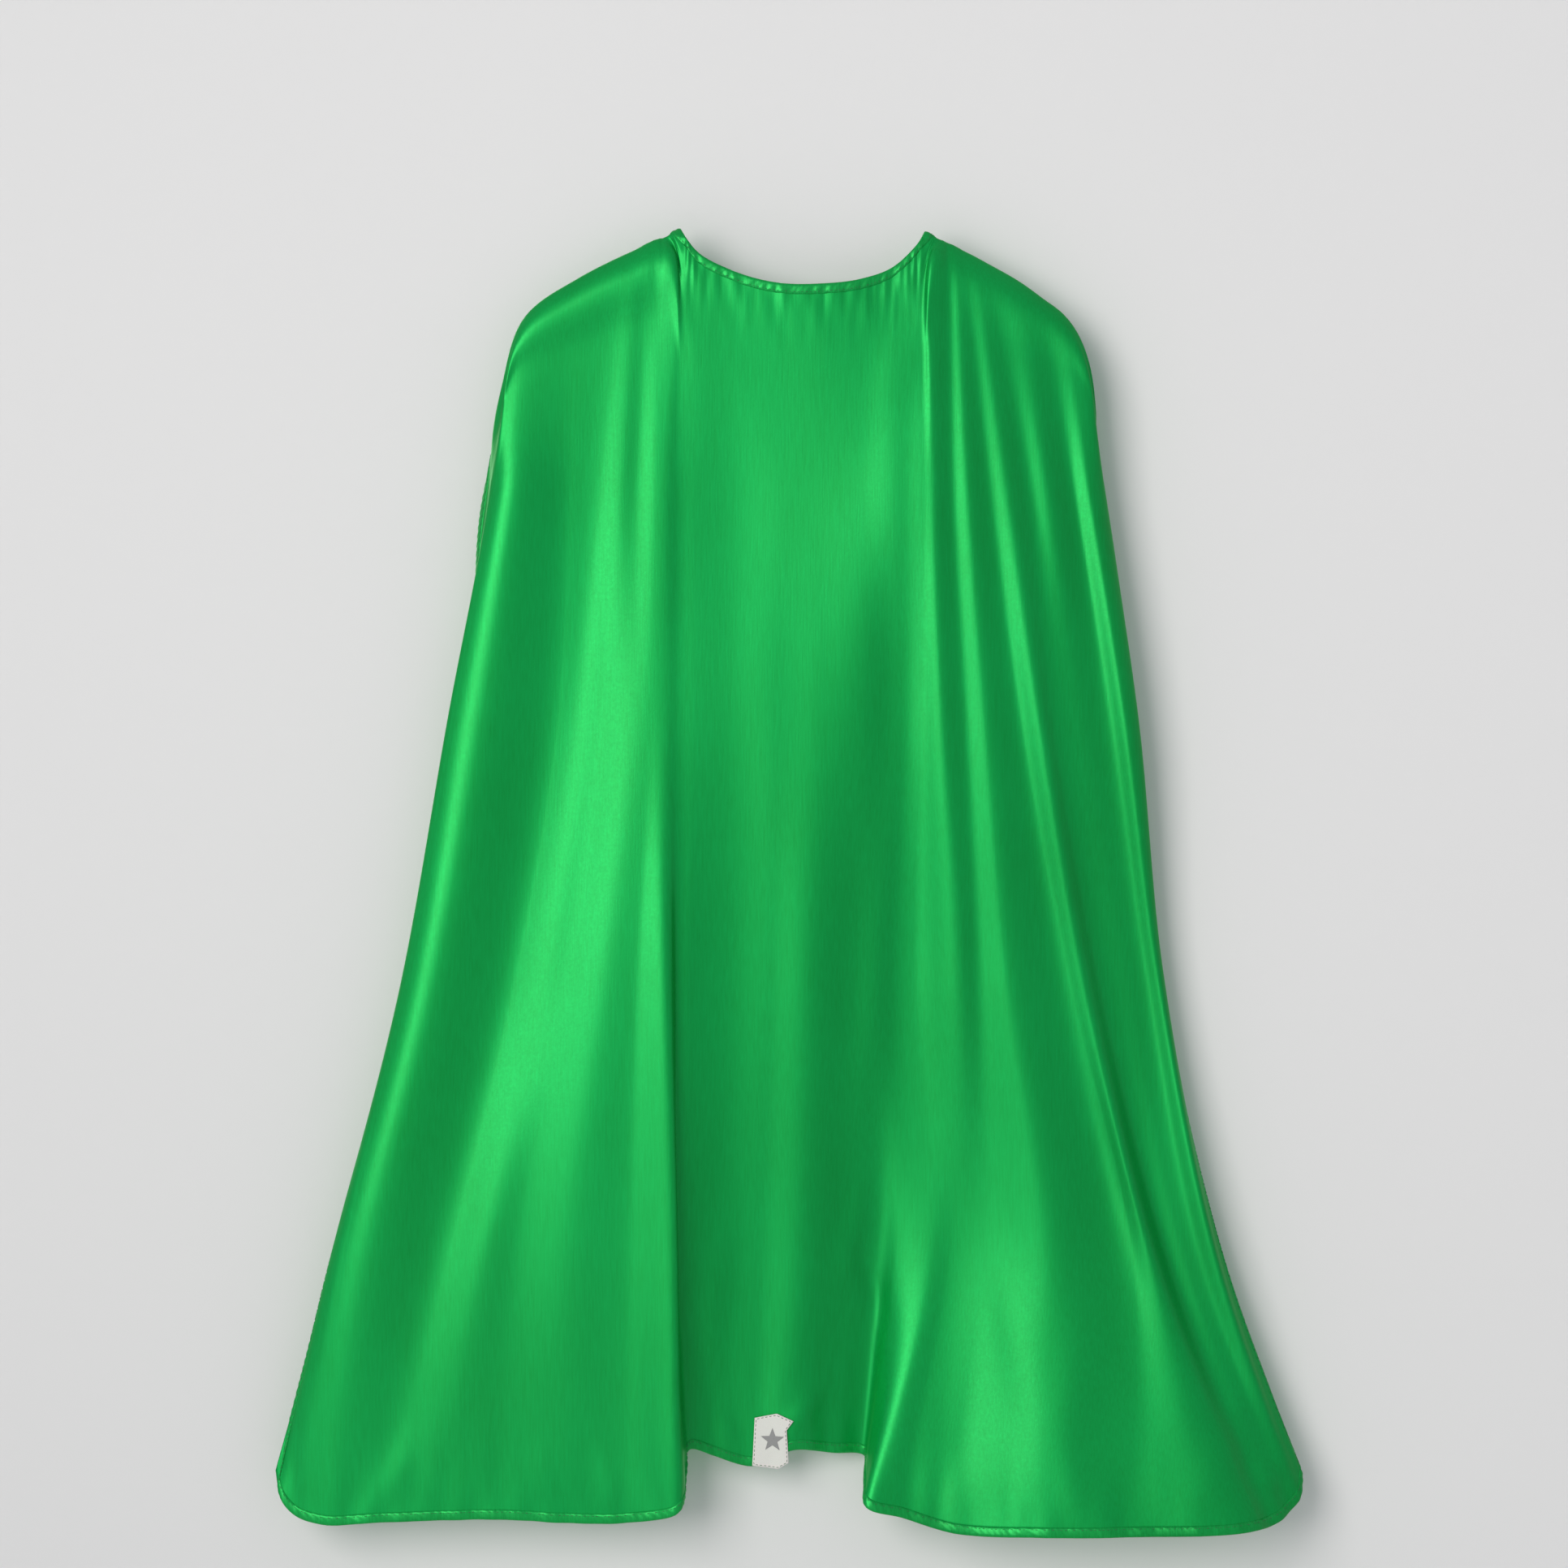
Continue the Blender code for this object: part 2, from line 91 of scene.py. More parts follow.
# A fold line, in millimetres: its point on the neckline, the top of its turn over the shoulder or
# None, if it rolls there, (x, y) at the chest, waist, hip and knee, and its point on the hem
Fold = namedtuple("Fold", "name neck over rolls chest waist hip knee hem")
FOLDS = (
    Fold("edge_left", (-60, 12, -108), (-252, 15, -186), False,
         (-258, 17), (-269, 24), (-314, 24), (-384, 6), (-429, 2, -1023)),
    Fold("wrap_left", (-60, 12, -97), (-249, 7, -158), False,
         (-253, 4), (-281, 12), (-322, 11), (-385, -4), (-425, -1, -1043)),
    Fold("side_left", (-60, 12, -85), (-240, 0, -127), False,
         (-251, -5), (-286, -3), (-323, -5), (-379, -11), (-415, -5, -1057)),
    Fold("rim_left", (-60, 12, -74), (-222, 0, -69), True,
         (-245, -11), (-279, -8), (-316, -11), (-370, -15), (-394, -10, -1064)),
    Fold("trough_left", (-60, 12, -63), (-180, 0, -39), True,
         (-187, -5), (-197, 0), (-232, -3), (-290, -8), (-347, -11, -1063)),
    Fold("rise_outer", (-68, 10, -44), (-143, 0, -20), True,
         (-162, -4.5), (-178, -1), (-209, -6), (-260, -14), (-297, -12, -1061)),
    Fold("rise_inner", (-75, 10, -30), (-132, 0, -15), True,
         (-144, -6.5), (-158, -5.5), (-187, -12), (-229, -13.5), (-243, -12, -1060)),
    Fold("shelf", (-83, 8, -16), (-121, 0, -9), True,
         (-130, -6.5), (-136, -10.5), (-160, -18), (-188, -18), (-187, -13, -1063)),
    Fold("brow", (-91, 5, -4), (-113, 0, -6), True,
         (-115, -8.5), (-120, -12), (-130, -19), (-137, -17.5), (-137, -15, -1062)),
    Fold("lobe_left", (-95, 0, 2), (-107, -1, -5), True,
         (-106, -8.5), (-105, -12), (-101, -20), (-96, -22), (-93, -26, -1049)),
    Fold("back_left", (-91, -6, -5), None, False,
         (-96, -7), (-97, -11), (-99, -14.5), (-99, -13), (-91, -12, -1040)),
    Fold("valley_left", (-82, -8, -17), None, False,
         (-83, -6.5), (-83, -10.5), (-86, -9.5), (-87, -4), (-87, 0, -1005)),
    Fold("floor_left", (-54, -9, -33), None, False,
         (-50, -6), (-51, -9.5), (-57, -3), (-60, 7), (-67, 8, -1012)),
    Fold("centre", (-16, -11, -44), None, False,
         (-12, -8.5), (-15, -10.5), (-20, -3.5), (-30, 9.5), (-37, 10, -1021)),
    Fold("crease", (22, -12, -45), None, False,
         (21, -11), (21, -13), (13, -6), (7, 7), (-1, 8, -1007)),
    Fold("floor_right", (54, -11, -41), None, False,
         (55, -14.5), (55, -12.5), (50, 4), (47, 22), (30, 20, -1012)),
    Fold("valley_right", (80, -8, -31), None, False,
         (80, -18), (80, -9), (67, 6), (71, 27), (58, 27, -1016)),
    Fold("back_right", (94, -8, -19), None, False,
         (93, -19), (93, -9), (83, 9.5), (84, 20), (58, 9, -1027)),
    Fold("lobe_right", (103, -6, -8), None, False,
         (105, -20.5), (104, -11), (99, 9), (109, 13), (59, -14, -1050)),
    Fold("brow_right", (107, 0, 0), (119, -3, -7), True,
         (114, -21.5), (120, -16), (137, -2.5), (129, 12), (87, -14, -1058)),
    Fold("pleat_inner", (103, 5, -7), (125, 0, -9), True,
         (128, -17.5), (139, -12.5), (150, -1), (156, 7), (123, -16, -1069)),
    Fold("pleat_middle", (97, 8, -16), (132, 0, -12), True,
         (142, -19.5), (156, -16), (174, -7), (207, -9), (198, -38, -1069)),
    Fold("dip_right", (90, 11, -27), (139, 0, -16), True,
         (158, -15.5), (184, -10.5), (224, 0), (278, -6), (270, -40, -1068)),
    Fold("pleat_sharp", (84, 13, -38), (147, 0, -20), True,
         (175, -17.5), (202, -15.5), (237, -4.5), (295, -11), (378, -36, -1063)),
    Fold("drop_right", (77, 15, -51), (158, 0, -26), True,
         (191, -12.5), (212, -10.5), (251, 5), (312, 2), (390, -25, -1062)),
    Fold("pleat_outer", (70, 16.6, -63), (186, 0, -42), True,
         (208, -14), (236, -7), (274, 8), (323, 1), (400, -19, -1058)),
    Fold("gutter_right", (70, 16.6, -71.5), (204, 0, -55), True,
         (228, -7), (259, -5), (290, 8), (335, 0), (407, -13, -1053)),
    Fold("rim_right", (70, 16.6, -80), (221, 0, -68), True,
         (243, -10), (272, -10), (301, 4), (349, -5), (414, -7, -1046)),
    Fold("side_right", (70, 16.6, -88.5), (243, 0, -124), False,
         (255, 0), (283, 0), (305, 10), (353, 3), (417, -2, -1038)),
    Fold("wrap_right", (70, 16.6, -98), (244, 8, -160), False,
         (255, 9), (280, 10), (304, 17), (356, 9), (418, 2, -1030)),
    Fold("edge_right", (70, 16.6, -108), (225, 18, -184), False,
         (243, 20), (270, 20), (298, 25), (356, 15), (417, 7, -1021)),
)
NAMES = [fold.name for fold in FOLDS]

# A soft crease: its middle, half length, half width, turn from upright in degrees, and height
# off the sheet (less than nothing for a hollow). Millimetres.
Crease = namedtuple("Crease", "x z length width turn height")
CREASES = (
    Crease(6, -978, 24, 9, 35, 2.4),
    Crease(-52, -1000, 22, 10, -30, 1.6),
    Crease(44, -842, 42, 10, 12, 2.2),
    Crease(62, -868, 38, 9, -18, -1.8),
    Crease(-68, -885, 60, 12, 8, 1.5),
    Crease(-78, -930, 45, 10, -10, -1.6),
    Crease(388, -1024, 26, 12, 40, 3.0),
    Crease(352, -1000, 40, 14, 25, 1.8),
    Crease(-330, -1030, 40, 14, 30, 1.6),
    Crease(-290, -1040, 30, 12, -20, 1.3),
    Crease(-215, -1036, 34, 13, 15, 1.2),
    Crease(-150, -1040, 28, 12, -12, 1.2),
    Crease(130, -1046, 34, 14, 18, 1.5),
    Crease(235, -1045, 34, 16, -14, 1.6),
    Crease(-150, -330, 90, 14, 6, 0.8),
    Crease(-20, -430, 120, 22, -4, 1.0),
    Crease(55, -690, 80, 16, 9, 1.4),
    Crease(180, -905, 70, 18, -12, 1.6),
    Crease(225, -960, 60, 16, 10, 1.3),
)
OUTSIDE_FADE = 2              # how fast the creases fade as the cloth turns away from the back
BACK_CENTRE = np.array((0, 0, -0.25))
IN_PLANE = np.array((1, 0, 1))

# Fine steps between control points, down the cloth and across it
ROW_STEPS = (8, 4, 4, 4, 6, 10, 24, 26, 28, 24)
COLUMN_STEPS = 10

# Puckers: the pace of their waves along the seam and away from it, their height, and how far
# from the seam they fade out and how sharply
Pucker = namedtuple("Pucker", "along away height reach power")
NECK_PUCKER = Pucker(11 * MM, 90 * MM, 0.7 * MM, 26 * MM, 1.5)
HEM_PUCKER = Pucker(30 * MM, 120 * MM, 1.0 * MM, 40 * MM, 1.2)
NECK_FLAT = 6 * MM            # the neckline's own edge stays flat under its binding
SLOW_WAVE, QUICK_WAVE = 0.6, 1.6   # the waves of smooth noise have paces between these

CLOTH = 0.4 * MM
BINDING_WIDTH = 8.0 * MM


def length(vectors):
    return np.linalg.norm(vectors, axis=-1, keepdims=True)


def unit(vectors):
    return vectors / np.maximum(length(vectors), SMALLEST)


def spline(points, places):
    """Smooth curves through points along the first axis, read at places counted in points."""
    places = np.asarray(places, float)
    index = np.minimum(places.astype(int), len(points) - 2)
    along = (places - index).reshape((-1,) + (1,) * (points.ndim - 1))
    padded = np.concatenate([2 * points[:1] - points[1:2], points,
                             2 * points[-1:] - points[-2:-1]])
    before, start = padded[index], padded[index + 1]
    end, after = padded[index + 2], padded[index + 3]
    span = np.maximum(length(end - start), SMALLEST_SPAN)
    span_before = np.maximum(length(start - before), SMALLEST_SPAN)
    span_after = np.maximum(length(after - end), SMALLEST_SPAN)
    slope = (end - start) / span
    tangent_start = (start - before) / span_before * span + slope * span_before
    tangent_start = tangent_start * span / (span + span_before)
    tangent_end = slope * span_after + (after - end) / span_after * span
    tangent_end = tangent_end * span / (span + span_after)
    square = along ** 2
    cube = along ** 3
    return ((2 * cube - 3 * square + 1) * start + (cube - 2 * square + along) * tangent_start
            + (3 * square - 2 * cube) * end + (cube - square) * tangent_end)


def control_points(fold):
    """Eleven points down one fold line, from the neckline to the hem."""
    neck = np.array(fold.neck) * MM
    chest = np.array((fold.chest[0] * MM, fold.chest[1] * MM, CHEST_Z))
    half = np.array((0, SHOULDER_THICKNESS / 2, 0))
    if fold.over is None:
        fall = unit(chest - neck)
        nearness = max(0.0, 1 + neck[1] / NECK_DEPTH)
        upper = []
        for middle_step, point_step, bulge in NECK_STEPS:
            step = middle_step + (point_step - middle_step) * nearness
            upper.append(neck + fall * step - np.array((0, bulge * nearness, 0)))
    else:
        top = np.array(fold.over) * MM
        inward = unit((BACK_CENTRE - top) * IN_PLANE) * ROLL_DROP
        fall = unit((chest - top) * IN_PLANE) * ROLL_DROP
        turned = min(1.0, float(length(neck - top)[0]) / FULL_ROLL_LENGTH)
        before_top = neck + (top - neck) * NEAR_TOP
        if top[1] == 0:
            before_top = top + (inward + half) * turned
        after_top = top + fall - half if fold.rolls else top + (chest - top) * BELOW_TOP
        if top[1] > 0:
            before_top = before_top + np.array((0, 0, EDGE_ARCH))
        share = max(HALFWAY, STITCH_CLEARANCE / float(length(before_top - neck)[0]))
        middle = neck + (before_top - neck) * share + SHOULDER_CROWN * turned
        below = after_top + (chest - after_top) * BELOW_ROLL
        upper = [middle, before_top, top, after_top, below]
    waist = np.array((fold.waist[0] * MM, fold.waist[1] * MM, WAIST_Z))
    hip = np.array((fold.hip[0] * MM, fold.hip[1] * MM, HIP_Z))
    knee = np.array((fold.knee[0] * MM, fold.knee[1] * MM, KNEE_Z))
    return [neck, *upper, chest, waist, hip, knee, np.array(fold.hem) * MM]


def steps_to_places(steps):
    places = [index + step / count for index, count in enumerate(steps) for step in range(count)]
    return np.array(places + [len(steps)])


def cloth_grid():
    """Points of the sheet's middle surface: columns across, rows down, three coordinates."""
    lines = np.array([control_points(fold) for fold in FOLDS])
    rows = steps_to_places(ROW_STEPS)
    columns = steps_to_places((COLUMN_STEPS,) * (len(FOLDS) - 1))
    down_lines = spline(lines.transpose(1, 0, 2), rows).transpose(1, 0, 2)
    return spline(down_lines, columns)


def grid_normals(grid):
    """Unit normals pointing to the cape's outside."""
    across = np.gradient(grid, axis=0)
    down = np.gradient(grid, axis=1)
    return unit(np.cross(down, across))


def ground_noise(a, b, seed, waves=6):
    """Smooth noise between about -1 and 1 from a few seeded waves."""
    rng = np.random.default_rng(seed)
    total = np.zeros(np.broadcast(a, b).shape)
    for _ in range(waves):
        turn, phase = rng.uniform(0, math.pi), rng.uniform(0, 2 * math.pi)
        pace = rng.uniform(SLOW_WAVE, QUICK_WAVE)
        along = a * math.cos(turn) + b * math.sin(turn)
        total = total + np.sin(along * pace * 2 * math.pi + phase)
    return total / math.sqrt(waves)


def run_along(points, axis=0):
    """Cloth length from the first point to each point, along one axis of the array."""
    steps = length(np.diff(points, axis=axis))[..., 0]
    before = [(0, 0)] * steps.ndim
    before[axis] = (1, 0)
    return np.pad(np.cumsum(steps, axis=axis), before)


def seam_wave(kind, along, away, seed):
    """Waves of about one unit at the seam that fade with the distance from it."""
    wave = ground_noise(along / kind.along, away / kind.away, seed)
    return wave * np.exp(-(away / kind.reach) ** kind.power)


def pucker(grid):
    """Adds the small folds that sewing leaves along the neckline and the hem."""
    down = run_along(grid, 1)
    up = down[:, -1:] - down
    across = run_along(grid, 0)
    neck = seam_wave(NECK_PUCKER, across[:, :1], down, SEED) * np.clip(down / NECK_FLAT, 0, 1)
    hem = seam_wave(HEM_PUCKER, across[:, -1:], up, SEED + 1)
    offset = neck * NECK_PUCKER.height + hem * HEM_PUCKER.height
    return grid + grid_normals(grid) * offset[..., None]


def add_creases(grid):
    """Adds the soft creases that handling has left on the outside."""
    normals = grid_normals(grid)
    height = np.zeros(grid.shape[:2])
    for one in CREASES:
        turn = math.radians(one.turn)
        x = grid[..., 0] / MM - one.x
        z = grid[..., 2] / MM - one.z
        along = (x * math.sin(turn) + z * math.cos(turn)) / one.length
        aside = (x * math.cos(turn) - z * math.sin(turn)) / one.width
        height += one.height * np.exp(-along ** 2 - aside ** 2)
    outside = np.clip(-normals[..., 1] * OUTSIDE_FADE, 0, 1)
    return grid + normals * (height * outside * MM)[..., None]


def grid_faces(columns, rows):
    index = np.arange(columns * rows).reshape(columns, rows)
    quads = np.stack([index[:-1, :-1], index[:-1, 1:], index[1:, 1:], index[1:, :-1]], axis=-1)
    return quads.reshape(-1, 4)


def repeated(pattern, count, size):
    """The faces of a small shape, for a number of copies that have size points each."""
    return [tuple(base + corner for corner in face)
            for base in range(0, count * size, size) for face in pattern]


def mesh_object(name, points, faces, finish):
    mesh = bpy.data.meshes.new(name)
    mesh.from_pydata([tuple(point) for point in points], [], [tuple(face) for face in faces])
    mesh.update()
    mesh.materials.append(finish)
    mesh.shade_smooth()
    thing = bpy.data.objects.new(name, mesh)
    bpy.context.scene.collection.objects.link(thing)
    return thing


def add_uv(thing, across, down):
    """Cloth coordinates in metres, as a UV layer."""
    layer = thing.data.uv_layers.new(name="cloth")
    flat = np.stack([across.ravel(), down.ravel()], axis=-1)
    loops = np.empty(len(thing.data.loops), int)
    thing.data.loops.foreach_get("vertex_index", loops)
    layer.data.foreach_set("uv", flat[loops].astype(np.float32).ravel())


def solidify(thing, thickness):
    modifier = thing.modifiers.new("thickness", "SOLIDIFY")
    modifier.thickness = thickness
    modifier.offset = 0


# ---- Materials

WAVE_TO_PITCH = 0.314         # a wave texture of this scale repeats once in a metre
GRAIN_SCALE = (900, 900, 45)  # the floats: fine across the cloth and long down it
CLOUD_SCALE = (9, 9, 5)       # slow changes of tone
SPECK_SCALE = (420, 420, 420)  # fine unevenness of the shine
ROUGHNESS_BELOW, ROUGHNESS_ABOVE = 0.05, 0.07


def new_material(name):
    made = bpy.data.materials.new(name)
    made.use_nodes = True
    nodes = made.node_tree.nodes
    return made, nodes, made.node_tree.links, nodes["Principled BSDF"]


def stretched_noise(nodes, links, scale, detail):
    """Noise whose cells are longer or shorter along each axis of the object."""
    place = nodes.new("ShaderNodeTexCoord")
    mapping = nodes.new("ShaderNodeMapping")
    mapping.inputs["Scale"].default_value = scale
    noise = nodes.new("ShaderNodeTexNoise")
    noise.inputs["Scale"].default_value = 1
    noise.inputs["Detail"].default_value = detail
    links.new(place.outputs["Object"], mapping.inputs["Vector"])
    links.new(mapping.outputs["Vector"], noise.inputs["Vector"])
    return noise


def ramp(nodes, links, value, low, high, start=0.3, end=0.7):
    made = nodes.new("ShaderNodeValToRGB")
    made.color_ramp.elements[0].position = start
    made.color_ramp.elements[0].color = low
    made.color_ramp.elements[1].position = end
    made.color_ramp.elements[1].color = high
    links.new(value, made.inputs["Fac"])
    return made.outputs["Color"]


def spread(nodes, links, value, low, high):
    made = nodes.new("ShaderNodeMapRange")
    made.inputs["To Min"].default_value = low
    made.inputs["To Max"].default_value = high
    links.new(value, made.inputs["Value"])
    return made.outputs["Result"]


def bump(nodes, links, height, distance, strength, below=None):
    made = nodes.new("ShaderNodeBump")
    made.inputs["Strength"].default_value = strength
    made.inputs["Distance"].default_value = distance
    links.new(height, made.inputs["Height"])
    if below is not None:
        links.new(below, made.inputs["Normal"])
    return made.outputs["Normal"]


def satin_material(name, dark, light, roughness, metallic):
    """Satin: long shiny floats that run down the cloth, with a soft cloudy tone under them."""
    made, nodes, links, shader = new_material(name)
    grain = stretched_noise(nodes, links, GRAIN_SCALE, detail=3)
    cloud = stretched_noise(nodes, links, CLOUD_SCALE, detail=4)
    speck = stretched_noise(nodes, links, SPECK_SCALE, detail=2)
    mix = nodes.new("ShaderNodeMix")
    mix.inputs["Factor"].default_value = 0.5
    links.new(grain.outputs["Fac"], mix.inputs["A"])
    links.new(cloud.outputs["Fac"], mix.inputs["B"])
    links.new(ramp(nodes, links, mix.outputs["Result"], dark, light), shader.inputs["Base Color"])
    links.new(spread(nodes, links, speck.outputs["Fac"],
                     roughness - ROUGHNESS_BELOW, roughness + ROUGHNESS_ABOVE),
              shader.inputs["Roughness"])
    fine = bump(nodes, links, grain.outputs["Fac"], distance=0.15 * MM, strength=0.35)
    links.new(bump(nodes, links, speck.outputs["Fac"], distance=0.12 * MM, strength=0.25,
                   below=fine),
              shader.inputs["Normal"])
    shader.inputs["Metallic"].default_value = metallic
    shader.inputs["Sheen Weight"].default_value = 0.15
    shader.inputs["Sheen Roughness"].default_value = 0.4
    shader.inputs["Specular Tint"].default_value = (0.3, 1, 0.3, 1)
    shader.inputs["Coat Weight"].default_value = 0.12
    shader.inputs["Coat Roughness"].default_value = 0.3
    shader.inputs["Sheen Tint"].default_value = (0.1, 1, 0.3, 1)
    return made


def woven_material(name, dark, light, pitch, roughness=0.85):
    """Plain close weave: crossing threads at a pitch in metres."""
    made, nodes, links, shader = new_material(name)
    place = nodes.new("ShaderNodeTexCoord")
    waves = []
    for direction in ("X", "Z"):
        wave = nodes.new("ShaderNodeTexWave")
        wave.bands_direction = direction
        wave.inputs["Scale"].default_value = WAVE_TO_PITCH / pitch
        wave.inputs["Distortion"].default_value = 0.6
        links.new(place.outputs["Object"], wave.inputs["Vector"])
        waves.append(wave)
    cross = nodes.new("ShaderNodeMath")
    cross.operation = "MAXIMUM"
    links.new(waves[0].outputs["Fac"], cross.inputs[0])
    links.new(waves[1].outputs["Fac"], cross.inputs[1])
    links.new(ramp(nodes, links, cross.outputs["Value"], dark, light), shader.inputs["Base Color"])
    links.new(bump(nodes, links, cross.outputs["Value"], distance=0.1 * MM, strength=0.5),
              shader.inputs["Normal"])
    shader.inputs["Roughness"].default_value = roughness
    shader.inputs["Sheen Weight"].default_value = 0.2
    return made


satin = satin_material(
    "satin_face", dark=(0.0, 0.29, 0.05, 1), light=(0.001, 0.37, 0.075, 1),
    roughness=0.42, metallic=0.5)
tape_satin = satin_material(
    "satin_tape", dark=(0.0, 0.24, 0.04, 1), light=(0.006, 0.40, 0.08, 1),
    roughness=0.36, metallic=0.4)
thread = woven_material(
    "thread", dark=(0.0, 0.10, 0.02, 1), light=(0.0, 0.17, 0.04, 1),
    pitch=0.4 * MM, roughness=0.6)
label_weave = woven_material(
    "label_weave", dark=(0.58, 0.58, 0.54, 1), light=(0.74, 0.74, 0.70, 1), pitch=0.5 * MM)
label_border = woven_material(
    "label_border", dark=(0.60, 0.56, 0.54, 1), light=(0.78, 0.74, 0.72, 1), pitch=0.7 * MM)
mark_weave = woven_material(
    "mark_weave", dark=(0.20, 0.20, 0.20, 1), light=(0.30, 0.30, 0.30, 1), pitch=0.5 * MM)
fastener_weave = woven_material(
    "fastener", dark=(0.0, 0.09, 0.02, 1), light=(0.0, 0.17, 0.04, 1), pitch=0.7 * MM)


# ---- The sheet

grid = pucker(add_creases(cloth_grid()))
panel = mesh_object("satin_panel", grid.reshape(-1, 3), grid_faces(*grid.shape[:2]), satin)
add_uv(panel, run_along(grid, 0), run_along(grid, 1))
solidify(panel, CLOTH)
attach(panel, "cape")
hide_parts("cape_panel")


# ---- Bindings

BINDING_HALF_THICKNESS = 0.9 * MM
BINDING_SAMPLES = (0.0, 0.25, 0.5, 0.75, 1.0)   # shares of the width, from the edge inwards
BINDING_PROFILE = (0.75, 1.0, 1.0, 0.85, 0.45)  # shares of the half thickness there
BINDING_STATION = 1.6 * MM    # distance between the rings of points along a tape
BINDING_TIP = 0.5 * MM        # how far the folded edge stands out past the sheet
RIPPLE_PITCH = 7 * MM         # the tape is drawn up by its stitches into ripples
RIPPLE_HEIGHT = 0.35          # share of the thickness
RIPPLE_SLANT = 1.3            # ripples that a slanting ripple is off by, over the width
RIPPLE_DRIFT = 2.5            # radians that the ripples wander by
DRIFT_PITCH = 0.05            # the length of tape over which they do
NECK_SEED, EDGE_SEED, TAB_SEED = 11, 12, 21

NECK_ROWS = 30                # rows that the neck tape's width is measured along
SIDE_COLUMNS = 30             # columns that the side tape's width is measured along
HEM_ROWS = 12                 # rows that the hem tape's width is measured along
CORNER_MARGIN = 6             # lines left out at each end, where side and hem would cross


def inset(lines, distance):
    """The point at a cloth distance from the start of each line of points."""
    run = run_along(lines, 1)
    return np.array([[np.interp(distance, run[row], lines[row, :, axis]) for axis in range(3)]
                     for row in range(len(lines))])


def even_path(points, spacing):
    """Places, counted in points, that are evenly spaced along a path."""
    run = run_along(points)
    count = max(2, int(run[-1] / spacing))
    return np.interp(np.linspace(0, run[-1], count + 1), run, np.arange(len(points)))


def read_path(points, places):
    index = np.arange(len(points))
    return np.stack([np.interp(places, index, points[:, axis]) for axis in range(3)], axis=-1)


def ripple(turns, drift):
    return 1 + RIPPLE_HEIGHT * np.sin(2 * math.pi * turns + RIPPLE_DRIFT * drift)


def make_binding(name, levels, normals, seed):
    """Tape folded over an edge. levels: the sheet's points at each sample of the width."""
    places = even_path(levels[0], BINDING_STATION)
    levels = [read_path(level, places) for level in levels]
    normals = [unit(read_path(normal, places)) for normal in normals]
    run = run_along(levels[0])
    out = unit(levels[0] - levels[1])
    drift = ground_noise(run / DRIFT_PITCH, 0, seed)
    drift_back = ground_noise(run / DRIFT_PITCH, 0, seed + 1)
    rings_outer, rings_inner = [], []
    for share, thickness, level, normal in zip(BINDING_SAMPLES, BINDING_PROFILE, levels, normals):
        turns = run / RIPPLE_PITCH + share * RIPPLE_SLANT
        height = BINDING_HALF_THICKNESS * thickness
        rings_outer.append(level + normal * (height * ripple(turns, drift))[:, None])
        rings_inner.append(level - normal * (height * ripple(turns + 0.5, drift_back))[:, None])
    tip = levels[0] + out * BINDING_TIP
    ring = np.stack(rings_outer[::-1] + [tip] + rings_inner, axis=1)
    stations, around = ring.shape[:2]
    index = np.arange(stations * around).reshape(stations, around)
    following = np.roll(index, -1, axis=1)
    sides = np.stack([index[:-1], following[:-1], following[1:], index[1:]], axis=-1)
    caps = [index[0][::-1], index[-1]]
    binding = mesh_object(name, ring.reshape(-1, 3), [*sides.reshape(-1, 4), *caps], tape_satin)
    return binding, levels, normals


normals = grid_normals(grid)
first = NAMES.index("trough_left") * COLUMN_STEPS
last = NAMES.index("pleat_outer") * COLUMN_STEPS
neck_lines = grid[first:last + 1, :NECK_ROWS]
neck_levels = [inset(neck_lines, BINDING_WIDTH * share) for share in BINDING_SAMPLES]
neck_normals = [normals[first:last + 1, 1]] * len(BINDING_SAMPLES)
neck_binding, neck_levels, neck_normals = make_binding(
    "neck_tape", neck_levels, neck_normals, NECK_SEED)
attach(neck_binding, "cape")
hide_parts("neck_binding")

# Lines inwards from the free edge, down the left side, along the hem and up the right side
left_lines = grid[:SIDE_COLUMNS].transpose(1, 0, 2)
hem_lines = grid[:, ::-1][:, :HEM_ROWS]
right_lines = grid[::-1][:SIDE_COLUMNS].transpose(1, 0, 2)
to_corner = slice(None, -CORNER_MARGIN)
between_corners = slice(CORNER_MARGIN, -CORNER_MARGIN)
edge_levels = []
for share in BINDING_SAMPLES:
    distance = BINDING_WIDTH * share
    edge_levels.append(np.concatenate([
        inset(left_lines, distance)[to_corner],
        inset(hem_lines, distance)[between_corners],
        inset(right_lines, distance)[to_corner][::-1],
    ]))
edge_normal = np.concatenate([normals[1, to_corner], normals[between_corners, -2],
                              normals[-2, to_corner][::-1]])
edge_binding, edge_levels, edge_normals = make_binding(
    "edge_tape", edge_levels, [edge_normal] * len(BINDING_SAMPLES), EDGE_SEED)
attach(edge_binding, "cape")
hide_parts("edge_binding")


# ---- Throat tabs

TAB_MIDDLE = -85.5 * MM       # height of the tabs' middle line
TAB_HALF = 22.5 * MM          # half a tab's width, and the radius of its round end
TAB_REACH = 34 * MM           # how far each tab passes the middle of the neck
TAB_COLUMNS = 64
TAB_ROWS = 18
TAB_PATH_POINTS = 120         # points on each straight side of a tab and round its end
TAB_TIP_GAP = 0.1 * MM        # the cloth stops this far before the end of its tape
TAB_SLACK = 0.12 * MM         # height of the cloth's own waves
TAB_SLACK_LENGTH = 38 * MM
TAB_SLACK_WIDTH = 30 * MM
TOWARDS_FRONT = (0.0, 1.0, 0.0)
TOWARDS_BACK = (0.0, -1.0, 0.0)

